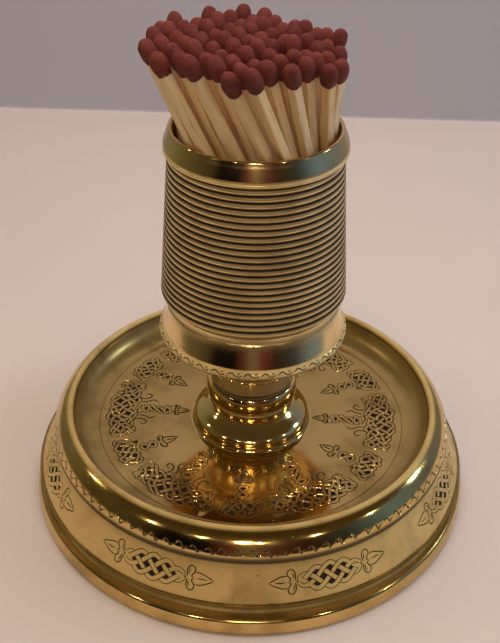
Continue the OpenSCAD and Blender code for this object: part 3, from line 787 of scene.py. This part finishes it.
def cupOutline(c):
    base, bead, neck, bulge, high = c["base"], c["beadRadius"], c["neckRadius"], c["bulgeRadius"], c["highRadius"]
    undersideZ = base + c["neckHeight"]
    bulgeZ = undersideZ + c["undersideHeight"]
    bandZ = bulgeZ + c["bulgeHeight"]
    ribsZ = bandZ + c["plainBand"]
    rimZ = ribsZ + c["ribs"] * c["ribPitch"]
    mouthZ = rimZ + c["rimHeight"]
    wellZ = mouthZ - c["wellDepth"]
    beadZ = bulgeZ + bead
    plain = c["lowRadius"] - c["plainInset"]
    rimR = high + c["rimFlare"]
    mouthR = high + 0.1
    lip = c["lipWidth"] / 2

    def grooveRadius(z):
        return c["lowRadius"] + (high - c["lowRadius"]) * (z - ribsZ) / (rimZ - ribsZ)

    # Socket of the stud and neck
    socket, socketTop = c["socketRadius"], base + c["socketDepth"]
    out = [(0, socketTop), (socket, socketTop - 1), (socket, base), (neck - 0.3, base, 1),
           (neck - 0.08, base + 0.08, 0.5), (neck, base + 0.3, 0, 0.5), (neck, base + 3.4, 0, 0.5)]
    out += arc(neck, base + 3.7, 0.25, -60, 60, 6) + [(neck, base + 4, 0.4)]
    # Underside, bead, bulge and plain band
    out += [(neck + (bulge - bead - neck) * (1 - math.cos(t)), undersideZ + c["undersideHeight"] * math.sin(t))
            for t in sweep(0, 90, 24)]
    first, last = c["scrollRows"]
    out += [point + (0, float(i > 8), float(first <= i <= last))
            for i, point in enumerate(arc(bulge - bead, beadZ, bead, -90, c["beadAngle"] - 90, c["beadSteps"]))]
    for i in range(1, 25):
        t = i / 24
        out.append((plain - 0.15 + (bulge - 0.6 - plain) * (1 - t) ** 1.02,
                    beadZ + bead + (bandZ - beadZ - bead) * t, 0.3 * t ** 6))
    out += [(plain + 0.18, bandZ + 0.1, 0.2), (plain + 0.25, bandZ + 0.3), (plain + 0.05, bandZ + 0.63, 0.5),
            (plain, bandZ + 0.6 * c["plainBand"]), (c["lowRadius"], ribsZ, 0.9)]
    # Ribs, darkened in the grooves and, as painted shade, on their upper sides
    ribRound = (c["ribPitch"] ** 2 / 4 + c["ribDepth"] ** 2) / (2 * c["ribDepth"])
    half = math.asin(c["ribPitch"] / 2 / ribRound)
    for rib in range(c["ribs"]):
        middle = ribsZ + (rib + 0.5) * c["ribPitch"]
        for i in range(11):
            s = -1 + 2 * i / 10
            grime = min(1, max(0, (s - 0.02) * 1.6, (-s - 0.7) * 2.6))
            out.append((grooveRadius(middle) + c["ribDepth"] - ribRound + ribRound * math.cos(half * s),
                        middle + ribRound * math.sin(half * s), grime, 0.45))
    # Rim and well
    out += [(high, rimZ, 1), (high, rimZ + 0.2, 1)]
    out += [p + (0, float(i > 5)) for i, p in enumerate(arc(rimR - 0.5, rimZ + 0.85, 0.55, -70, 70, 12))]
    out += [(rimR - 0.35, rimZ + 1.5, 0.6)]
    for i in range(13):
        t = i / 12
        out.append((rimR - (rimR - mouthR) * t ** 1.2, rimZ + 1.8 + (c["rimHeight"] - 2.25) * t))
    out += arc(mouthR - lip, mouthZ - lip, lip, 30, 180, 12)
    wellR = grooveRadius(wellZ) - c["wall"]
    # Inside, the well is darker towards its bottom
    out += [(high - c["wall"], rimZ, 0.3, 0.6), (wellR, wellZ + 0.4, 1)]
    return out + [p + (1,) for p in arc(wellR - 0.4, wellZ + 0.4, 0.4, 0, -90, 4)] + [(0, wellZ, 1)]


def scrollPanel(c):
    # A running scroll cut into the bead at the bottom of the bulge
    first, last = c["scrollRows"]
    bead = c["beadRadius"]
    start = math.radians(-90 + c["beadAngle"] * first / c["beadSteps"])
    height = math.radians(c["beadAngle"] * (last - first) / c["beadSteps"]) * bead
    beadZ = c["base"] + c["neckHeight"] + c["undersideHeight"] + bead
    surface = roundSurface(c["bulgeRadius"] - bead, beadZ, bead, start)
    scroll = [(-1.6, -0.3), (-1.25, 0.12), (-0.75, 0.36), (-0.25, 0.2), (0.15, -0.16), (0.7, -0.36), (1.2, -0.2),
              (1.5, 0.12)]
    curl = [(0.5, 0.1), (0.9, 0.34), (1.3, 0.3)]
    strokes = [stroke([(x, height / 2 + 1.2 * y) for x, y in shape]) for shape in (scroll, curl)]
    return bandPanel("scrollPanel", c["segments"], c["scrollPanels"], height, last - first, surface, c["bulgeRadius"],
                     [], strokes, 1.0)


cupPiece = turn("strikerCupVisual", cupOutline(cup), cup["segments"], cupBrass)
engrave(cupPiece, scrollPanel(cup), cup["scrollPanels"], 0, cupBrass)
closeShell(cupPiece)
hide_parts("striker_cup")

# Matches: each CAD splint's own corners give where a match stands
matches = {"splintWidth": 1.9, "endInHead": 1.7, "headTip": 0.9, "headLength": 4.8, "headRadius": 1.7, "headSides": 18,
           "bow": 0.1, "lumps": 0.3, "sharpAngle": 38, "seed": 7}
turnLabels = ("turnW", "turnX", "turnY", "turnZ")


def looseSticks(node):
    # The corner points of each loose stick in a node's mesh
    work = bmesh.new()
    work.from_mesh(nodes[node].data)
    bmesh.ops.remove_doubles(work, verts=work.verts, dist=1e-7)
    left = dict.fromkeys(work.verts)  # unlike a set it keeps its order, so each run gives the same
    sticks = []
    while left:
        todo = [left.popitem()[0]]
        island = []
        while todo:
            vert = todo.pop()
            island.append(vert.co.copy())
            for edge in vert.link_edges:
                other = edge.other_vert(vert)
                if other in left:
                    del left[other]
                    todo.append(other)
        sticks.append(np.array(island))
    work.free()
    return sticks


def stickPose(corners):
    # Foot, turn and length of a square stick from its corners
    middle = corners.mean(0)
    axis = np.linalg.svd(corners - middle)[2][0]
    axis *= np.sign(axis[2])
    along = (corners - middle) @ axis
    low = corners[along < along.mean()]
    foot = low.mean(0)
    side = low[0] - foot
    side -= axis * (side @ axis)
    side = side / np.linalg.norm(side)
    across = np.cross(axis, side)
    first = (side + across) / math.sqrt(2)
    second = np.cross(axis, first)
    return foot, Matrix((first, second, axis)).transposed().to_quaternion(), along.max() - along.min()


poses = [stickPose(s) for n in ("splints_inner", "splints_middle", "splints_outer") for s in looseSticks(n)]
poses.sort(key=lambda p: (round(p[0][2], 5), round(p[0][0], 5)))
print("matches:", len(poses))


def splintMesh(width, length):
    # A sawn stick with softened edges; rings along it let it bow a little
    h, c = width / 2, 0.09 * width
    ring = [(h, -h + c), (h, h - c), (h - c, h), (-h + c, h), (-h, h - c), (-h, -h + c), (-h + c, -h), (h - c, -h)]
    levels = [0, 0.04, 1, 4, 8, 14, 20, 26, 32, 38, length]
    points = [(x * mm, y * mm, min(z, length) * mm) for z in levels for x, y in ring]
    faces = [tuple(range(7, -1, -1)), tuple(range(len(points) - 8, len(points)))]
    return points, faces + tubeFaces(8, len(levels) - 1)


def tubeFaces(sides, rings):
    # Four-sided faces between one ring of points and the next
    return [(sides * k + i, sides * k + j, sides * (k + 1) + j, sides * (k + 1) + i)
            for k in range(rings) for i, j in zip(range(sides), [*range(1, sides), 0])]


def headMesh(m, length):
    # An egg drawn out over the wood, with four faint flats where the square stick shows through
    sides = m["headSides"]
    low = length + m["headTip"] - m["headLength"]
    tall = m["headLength"] - 0.12
    collar = 0.6 * m["splintWidth"]
    swell = m["headRadius"] - 0.1 - collar
    outline = [(0, 0.85 * collar), (0.02, collar)]
    outline += [(t, collar + swell * math.sin(math.pi / 2 * t / 0.5) ** 1.1) for t in (0.08, 0.16, 0.24, 0.32, 0.4)]
    outline += [(0.5 + 0.5 * math.sin(a), (collar + swell) * math.cos(a) ** 0.85) for a in sweep(0, 84, 10)]
    points = []
    for t, radius in outline:
        for i in range(sides):
            a = 2 * math.pi * i / sides
            reach = radius * (1 + 0.1 * (1 - t) ** 2 * math.cos(4 * a + math.pi))
            points.append((reach * math.cos(a) * mm, reach * math.sin(a) * mm, (low + tall * t) * mm))
    points.append((0, 0, (low + tall) * mm))
    rings = len(outline) - 1
    faces = tubeFaces(sides, rings) + [tuple(range(sides - 1, -1, -1))]
    faces += [(sides * rings + i, sides * rings + (i + 1) % sides, len(points) - 1) for i in range(sides)]
    return points, faces


def bunchTree():
    # Sets a match part on every point of the bunch, turned as the point says, and makes it a little uneven
    tree, given = startTree("bunch", {"Match part": "Object", "Roughness": "Float", "Lump size": "Float",
                                      "Seed": "Int", "Material": "Material"})
    source = addNode(tree, "GeometryNodeObjectInfo", {"Object": given["Match part"]}, "Geometry")
    spot = addNode(tree, "GeometryNodeInputPosition")
    marked = store(tree, source, "grainPlace", spot, "FLOAT_VECTOR")
    rotation = addNode(tree, "FunctionNodeQuaternionToRotation", [named(tree, label) for label in turnLabels])
    number = addNode(tree, "GeometryNodeInputIndex")
    tone = addNode(tree, "FunctionNodeRandomValue", {"ID": number, "Seed": given["Seed"]}, 1, data_type="FLOAT")
    toned = store(tree, given["Geometry"], "matchTone", tone)
    placed = addNode(tree, "GeometryNodeInstanceOnPoints", {"Points": toned, "Instance": marked, "Rotation": rotation})
    real = addNode(tree, "GeometryNodeRealizeInstances", [placed])
    place = addNode(tree, "GeometryNodeInputPosition")
    lumps = addNode(tree, "ShaderNodeTexNoise", {"Vector": place, "Scale": given["Lump size"], "Detail": 1}, "Color")
    centred = addNode(tree, "ShaderNodeVectorMath", [lumps, (0.5, 0.5, 0.5)], operation="SUBTRACT")
    shift = addNode(tree, "ShaderNodeVectorMath", {0: centred, "Scale": given["Roughness"]}, operation="SCALE")
    shaped = addNode(tree, "GeometryNodeSetPosition", {"Geometry": real, "Offset": shift})
    return endTree(tree, shaped, given["Material"])


def makeBunch(m):
    tree = bunchTree()
    length = float(np.median([p[2] for p in poses])) / mm
    turns = {label: [p[1][k] for p in poses] for k, label in enumerate(turnLabels)}
    made = []
    for name, shape, roughness, lump, material in (
            ("splintsVisual", splintMesh(m["splintWidth"], length - m["endInHead"]), m["bow"], 1 / (9 * mm), aspen),
            ("headsVisual", headMesh(m, length), m["lumps"], 1 / (2.4 * mm), matchRed)):
        part = meshObject(name + "Source", shape[0], faces=shape[1])
        piece = meshObject(name, [p[0] for p in poses], attributes=turns)
        runTree(piece, tree, {"Match part": part, "Roughness": roughness * mm, "Lump size": lump,
                              "Seed": m["seed"], "Material": material})
        bpy.data.objects.remove(part)
        piece.data.set_sharp_from_angle(angle=math.radians(m["sharpAngle"]))
        made.append(piece)
    return made


splintsPiece, headsPiece = makeBunch(matches)
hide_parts("splints_inner", "splints_middle", "splints_outer")
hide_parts("heads_inner", "heads_middle", "heads_outer")
for node, material in (("stud", steel), ("washer", cupBrass), ("nut", cupBrass), ("broken_splint", aspen)):
    nodes[node].data.materials.clear()
    nodes[node].data.materials.append(material)
for piece in (dishPiece, pedestalPiece, cupPiece, splintsPiece, headsPiece):
    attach(piece, "root")
print("pieces made")

# Table and wall, light and camera
stage = {"wallDistance": 213, "wallTurn": 0.022, "wallHeight": 330, "halfWidth": 180, "front": 112, "edgeDrop": 60,
         "edgeRadius": 14, "coveRadius": 1.5, "table": "#E3D6D0", "wall": "#B8B7C4"}


def tabletop(s):
    # Satin painted table, rounded off in front, that turns up into a grey wall behind
    edge, cove, wallY = s["edgeRadius"], s["coveRadius"], s["wallDistance"]
    rows = [(-s["front"], -s["edgeDrop"])]
    rows += [(-s["front"] + edge * (1 - math.cos(a)), edge * (math.sin(a) - 1)) for a in sweep(0, 90, 8)]
    rows += [(0, 0), (wallY - cove, 0)]
    rows += [(wallY - cove + cove * math.sin(a), cove * (1 - math.cos(a))) for a in sweep(0, 90, 8)[1:]]
    rows.append((wallY, s["wallHeight"]))
    points = [(x * mm, (y - s["wallTurn"] * x * (y > 100)) * mm, z * mm)
              for y, z in rows for x in (-s["halfWidth"], s["halfWidth"])]
    faces = [(2 * i, 2 * i + 1, 2 * i + 3, 2 * i + 2) for i in range(len(rows) - 1)]
    floor = meshObject("tableAndWall", points, faces=faces)
    for face in floor.data.polygons:
        face.use_smooth = True
    material, tree, shader = startMaterial("paintedTable")
    place = addNode(tree, "ShaderNodeTexCoord", out="Object")
    height = addNode(tree, "ShaderNodeSeparateXYZ", [place], "Z")
    share = spread(tree, height, 0.1 * mm, 0.8 * mm, 0, 1, "SMOOTHSTEP")
    fill(tree, shader, {"Base Color": mixColor(tree, share, s["table"], s["wall"]), "Roughness": 0.6})
    # From behind, the wall lets the eye through
    behind = addNode(tree, "ShaderNodeNewGeometry", out="Backfacing")
    clear = addNode(tree, "ShaderNodeBsdfTransparent")
    either = addNode(tree, "ShaderNodeMixShader", [behind, shader.outputs[0], clear])
    tree.links.new(either, tree.nodes["Material Output"].inputs["Surface"])
    floor.data.materials.append(material)


# Seen from the striker, 0.5 is straight back, 0 and 1 are towards the viewer, below 0.5 is left
room = {"strength": 0.62, "thingsTo": (0.4, 0.62), "upperWallTo": (0.55, 1), "upperWall": "#5E4E31",
        "ceiling": "#54462E",
        "things": [(0.0, "#8F8272"), (0.025, "#70403C"), (0.055, "#14110E"), (0.12, "#17140F"), (0.15, "#4E482F"),
                   (0.25, "#726A4C"), (0.4, "#A39C88"), (0.6, "#A39C88"), (0.68, "#8790AC"), (0.79, "#7C9CC8"),
                   (0.86, "#414C58"), (0.92, "#3E2E26"), (0.965, "#70403C"), (1.0, "#8F8272")]}


def roomLight(r):
    # A dim room: brown and olive above, with dull red, black and blue-green things round it at eye height
    world = bpy.data.worlds.new("room")
    scene.world = world
    world.use_nodes = True
    tree = world.node_tree
    direction = addNode(tree, "ShaderNodeTexCoord", out="Generated")
    x, y, z = addNode(tree, "ShaderNodeSeparateXYZ", [direction], None)
    share = spread(tree, calc(tree, "ARCTAN2", x, y), -math.pi, math.pi, 0, 1)
    things = addNode(tree, "ShaderNodeValToRGB", [share])
    stops = things.node.color_ramp.elements
    for stop, position in ((0, 0.0), (1, 1.0)):
        stops[stop].position, stops[stop].color = position, linearColor(r["things"][-stop][1])
    for position, code in r["things"][1:-1]:
        stops.new(position).color = linearColor(code)
    rise = spread(tree, z, *r["thingsTo"], 0, 1, "SMOOTHSTEP")
    up = spread(tree, z, *r["upperWallTo"], 0, 1, "SMOOTHSTEP")
    color = mixColor(tree, rise, things, mixColor(tree, up, r["upperWall"], r["ceiling"]))
    fill(tree, tree.nodes["Background"], {"Color": color, "Strength": r["strength"]})


bulbPlaces = ((-638, 56, 410), (-520, -406, 400), (-260, -585, 420), (70, -666, 400), (376, -518, 415),
              (612, -247, 405))
lamps = {  # name: (place mm, size mm, watts, colour, seen in the metal)
    "softboxTop": ((0, 20, 390), 280, 0.8, "#FFF2E6", False),
    "softboxLeft": ((-560, 20, 520), 420, 0.42, "#FFEAD2", False),
    "softboxRight": ((600, 80, 440), 420, 1.25, "#D6E2FF", False),
    **{f"bulb{k}": (place, 26, 0.17, "#FFEBCB", True) for k, place in enumerate(bulbPlaces, 1)},
    "windowRight": ((640, 120, 330), 90, 0.45, "#DDF3F0", True),
    "windowFront": ((-30, -700, 440), 80, 0.75, "#FFE2BC", True),
}
lampTarget = (0, 0, 40)


def addLamps():
    for name, (place, size, watts, code, seen) in lamps.items():
        data = bpy.data.lights.new(name, "AREA")
        data.shape = "DISK" if size < 50 else "SQUARE"  # the bulbs are round
        data.size = size * mm
        data.energy = watts
        data.color = linearColor(code)[:3]
        lamp = bpy.data.objects.new(name, data)
        lamp.location = Vector(place) * mm
        lamp.rotation_euler = (Vector(lampTarget) * mm - lamp.location).to_track_quat("-Z", "Y").to_euler()
        lamp.visible_glossy = seen
        scene.collection.objects.link(lamp)


camera = {"place": (0.5, -177.25, 164.75), "down": 34.64, "yaw": 0.36, "roll": 1.0, "focalPixels": 990,
          "imageWidth": 500, "sensor": 36}


def addCamera(c):
    data = bpy.data.cameras.new("photoCamera")
    data.sensor_width = c["sensor"]
    data.sensor_fit = "HORIZONTAL"
    data.lens = c["sensor"] * c["focalPixels"] / c["imageWidth"]
    data.clip_start, data.clip_end = 0.01, 10
    thing = bpy.data.objects.new("photoCamera", data)
    thing.location = Vector(c["place"]) * mm
    turned = Euler((math.radians(90 - c["down"]), 0, math.radians(c["yaw"]))).to_matrix()
    thing.rotation_euler = (turned @ Matrix.Rotation(math.radians(c["roll"]), 3, "Z")).to_euler()
    scene.collection.objects.link(thing)
    scene.camera = thing


tabletop(stage)
roomLight(room)
addLamps()
addCamera(camera)
scene.view_settings.view_transform = "Standard"
print("stage, light and camera made")

bpy.context.view_layer.update()
